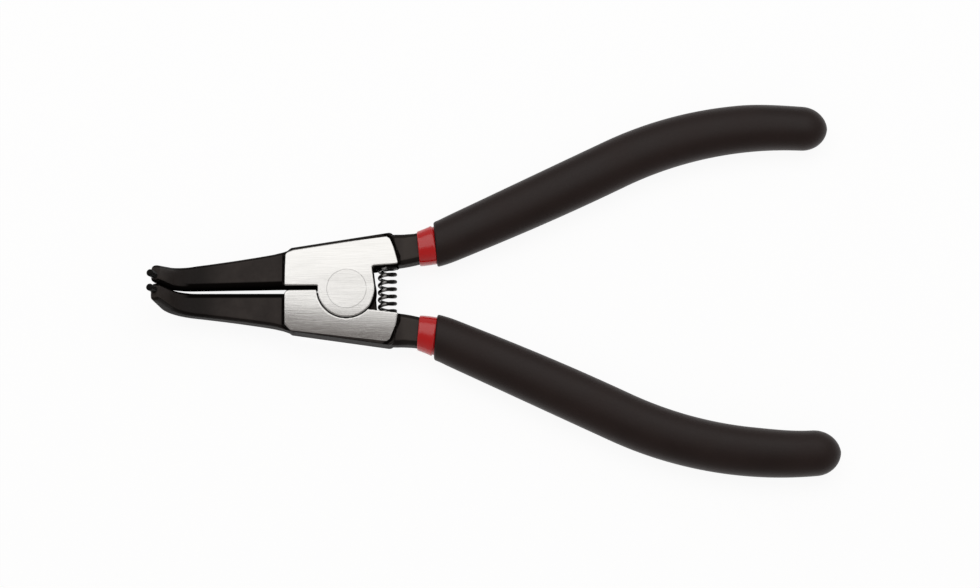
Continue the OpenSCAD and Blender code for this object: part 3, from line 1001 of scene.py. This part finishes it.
# painted glint on the coil's front top, kept in the same mark that holds the levers' worn edges
glint_mark = point_values(spring, "wear_and_glint")
for v in spring.data.vertices:
    in_front = smooth(((SPRING_X - v.co.x / MM) / coil_r - GLINT_FRONT) / GLINT_FRONT_FADE)
    on_top = smooth((v.co.z / MM - MID_Z - GLINT_HIGH) / GLINT_HIGH_FADE)
    glint_mark[v.index].value = in_front * on_top
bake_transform(spring)

# Dipped coats: each mouth is a dip line across the tool's length, with a rolled lip
DIP_ANGLE = 5.0
LEAN_RUN = 9.0
LIP_STEPS = 6
BORE_ROWS = 90

# Sleeve: its lip, the swell of the collar up to the grip's mouth, and its rows
SLEEVE_LIP = 0.3
COLLAR_FULLER = 0.12
COLLAR_SWELL = 0.3
COLLAR_STOP = 0.99
COLLAR_FADE = 0.06
COLLAR_RUN = 12
COLLAR_ROWS = 30
SLEEVE_ROWS = 70

# Grip: its bore and lip, the trim of its far edge towards the heel, and its rows
GRIP_BORE = 2 * COAT_GAP + SLEEVE_T + 0.12
GRIP_LIP = 0.6
LIP_FLARE = 0.35
LIP_INSET = 0.8
HEEL_TRIM = 0.5
TRIM_RUN = 16.0
HEEL_DROP = 0.2
GRIP_ROWS = 110
DOME_ROWS = 16
DOME_STOP = math.radians(84)


def dip_lean(s, start):
    """Degrees that a section leans back towards the dip line at the coat's mouth."""
    heading = walk(HANDLE_X, HANDLE_Y, HANDLE_HEADING, HANDLE_RUNS, s)[2]
    return (heading - DIP_ANGLE) * (1 - smooth((s - start) / LEAN_RUN))


def sleeve(name, side, body):
    """Inner coat: up its bore from the closed end, round its lip and back along its outside."""
    g = COAT_GAP + SLEEVE_T
    first = SLEEVE_START + SLEEVE_LIP
    rings = [coat_ring(s, COAT_GAP, dip_lean(s, SLEEVE_START))
             for s in reversed(spread(first, TANG_LEN + COAT_GAP, BORE_ROWS))]
    for a in spread(0, math.pi, 2 * LIP_STEPS)[1:-1]:
        s = first - SLEEVE_LIP * math.sin(a)
        u = (1 - math.cos(a)) / 2
        rings.append(coat_ring(s, mix(COAT_GAP, g + COLLAR_FULLER, u), dip_lean(s, SLEEVE_START), u))
    collar_end = SLEEVE_START + COLLAR_RUN
    for s in (spread(first, collar_end, COLLAR_ROWS)[1:]
              + spread(collar_end, SLEEVE_END, SLEEVE_ROWS)[1:]):
        u = clamp((s - SLEEVE_START) / COLLAR_LEN)
        swell = (COLLAR_FULLER + COLLAR_SWELL * u) * smooth((COLLAR_STOP - u) / COLLAR_FADE)
        rings.append(coat_ring(s, g + swell, dip_lean(s, SLEEVE_START), 1.0))
    bm = bmesh.new()
    skin(bm, rings, side)
    piece(name + "_dip", bm, body, red_vinyl, name)


def trimmed(ring, s, side):
    """Ring of a grip with its far edge, as the photograph sees it, drawn in towards the heel."""
    cut = (HEEL_TRIM * smooth((s - DOME_START + TRIM_RUN) / TRIM_RUN)
           + HEEL_DROP * clamp((s - DOME_START) / DOME_LEN))
    near = min(y * side for x, y, z in ring)
    far = max(y * side for x, y, z in ring)
    keep = 1 - cut / max(far - near, 2 * cut)
    return [(x, side * (near + (y * side - near) * keep), z) for x, y, z in ring]


def grip(name, side, body):
    """Outer coat: up its bore, round its rolled lip, along its outside and over its domed heel."""
    first = GRIP_START + GRIP_LIP
    rings = [coat_ring(s, GRIP_BORE, dip_lean(s, GRIP_START), 1.0)
             for s in reversed(spread(first, GRIP_BORE_END, BORE_ROWS))]
    for a in spread(0, math.pi / 2, LIP_STEPS):
        s = first - GRIP_LIP * math.sin(a)
        flared = GRIP_BORE + LIP_FLARE * (1 - math.cos(a))
        rings.append(coat_ring(s, flared, dip_lean(s, GRIP_START), 1.0))
    for a in spread(math.pi / 2, 0, LIP_STEPS):
        s = first - GRIP_LIP * math.sin(a)
        inset = GRIP_LIP * (1 - math.cos(a)) * LIP_INSET
        rings.append(grip_ring(s, 1.0, inset, dip_lean(s, GRIP_START)))
    for s in spread(first, DOME_START, GRIP_ROWS)[1:]:
        rings.append(trimmed(grip_ring(s, lean=dip_lean(s, GRIP_START)), s, side))
    for a in spread(0, DOME_STOP, DOME_ROWS)[1:]:
        s = DOME_START + DOME_LEN * math.sin(a)
        rings.append(trimmed(grip_ring(s, math.cos(a)), s, side))
    bm = bmesh.new()
    skin(bm, rings, side)
    piece(name + "_dip", bm, body, black_vinyl, name)


sleeve("right_sleeve", 1, "right_side")
sleeve("left_sleeve", -1, "left_side")
grip("right_grip", 1, "right_side")
grip("left_grip", -1, "left_side")

# Studio: white floor under the tool, a soft box behind it and a dim room, brighter at the horizon
FLOOR_GAP = 0.00002
FLOOR_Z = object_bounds()[0][2] - FLOOR_GAP
FLOOR_HALF = 3.0
FLOOR_TONE = (0.9, 0.9, 0.9, 1)
FLOOR_GLOW = 1.12
FLOOR_SHARE = 0.82
mesh = bpy.data.meshes.new("floor")
corners = ((-1, -1), (1, -1), (1, 1), (-1, 1))
mesh.from_pydata([(x * FLOOR_HALF, y * FLOOR_HALF, FLOOR_Z) for x, y in corners], [], [(0, 1, 2, 3)])
floor = bpy.data.objects.new("floor", mesh)
scene.collection.objects.link(floor)
m = Nodes("floor_white")
m.shade("Base Color", FLOOR_TONE)
m.shade("Roughness", 0.9)
rays = m.add("ShaderNodeLightPath").outputs
seen = m.math("MAXIMUM", rays["Is Camera Ray"], rays["Is Glossy Ray"])
seen = m.math("MAXIMUM", seen, rays["Is Transmission Ray"])
glow = m.add("ShaderNodeEmission", Color=(1, 1, 1, 1), Strength=FLOOR_GLOW)
white = m.add("ShaderNodeMixShader", Fac=FLOOR_SHARE)
m.link(m.shader.outputs[0], white.inputs[1])
m.link(glow.outputs[0], white.inputs[2])
shown = m.add("ShaderNodeMixShader")
m.link(seen, shown.inputs[0])
m.link(m.shader.outputs[0], shown.inputs[1])
m.link(white.outputs[0], shown.inputs[2])
m.link(shown.outputs[0], m.tree.nodes["Material Output"].inputs["Surface"])
floor.data.materials.append(m.material)

BOX_ANGLE = math.radians(25.5)
BOX_FAR = 0.9
BOX_SIZE = (1.3, 0.62)
BOX_LIGHT = 0.92
BOX_AIM = Vector((0.037, 0, 0))
box_light = bpy.data.lights.new("soft_box", "AREA")
box_light.shape = "RECTANGLE"
box_light.size, box_light.size_y = BOX_SIZE
box_light.energy = math.pi * BOX_SIZE[0] * BOX_SIZE[1] * BOX_LIGHT
box = bpy.data.objects.new("soft_box", box_light)
box.location = (BOX_AIM.x, BOX_FAR * math.sin(BOX_ANGLE), BOX_FAR * math.cos(BOX_ANGLE))
box.rotation_euler = (BOX_AIM - box.location).to_track_quat("-Z", "Y").to_euler()
scene.collection.objects.link(box)

HORIZON = (0.45, 0.45, 0.45, 1)
ZENITH = (0.135, 0.12, 0.114, 1)
world = bpy.data.worlds.new("room")
scene.world = world
world.use_nodes = True
tree = world.node_tree
where = tree.nodes.new("ShaderNodeTexCoord")
split = tree.nodes.new("ShaderNodeSeparateXYZ")
tree.links.new(where.outputs["Generated"], split.inputs[0])
ramp = tree.nodes.new("ShaderNodeValToRGB")
ramp.color_ramp.elements[0].color = HORIZON
ramp.color_ramp.elements[1].color = ZENITH
tree.links.new(split.outputs["Z"], ramp.inputs["Fac"])
tree.links.new(ramp.outputs["Color"], tree.nodes["Background"].inputs["Color"])
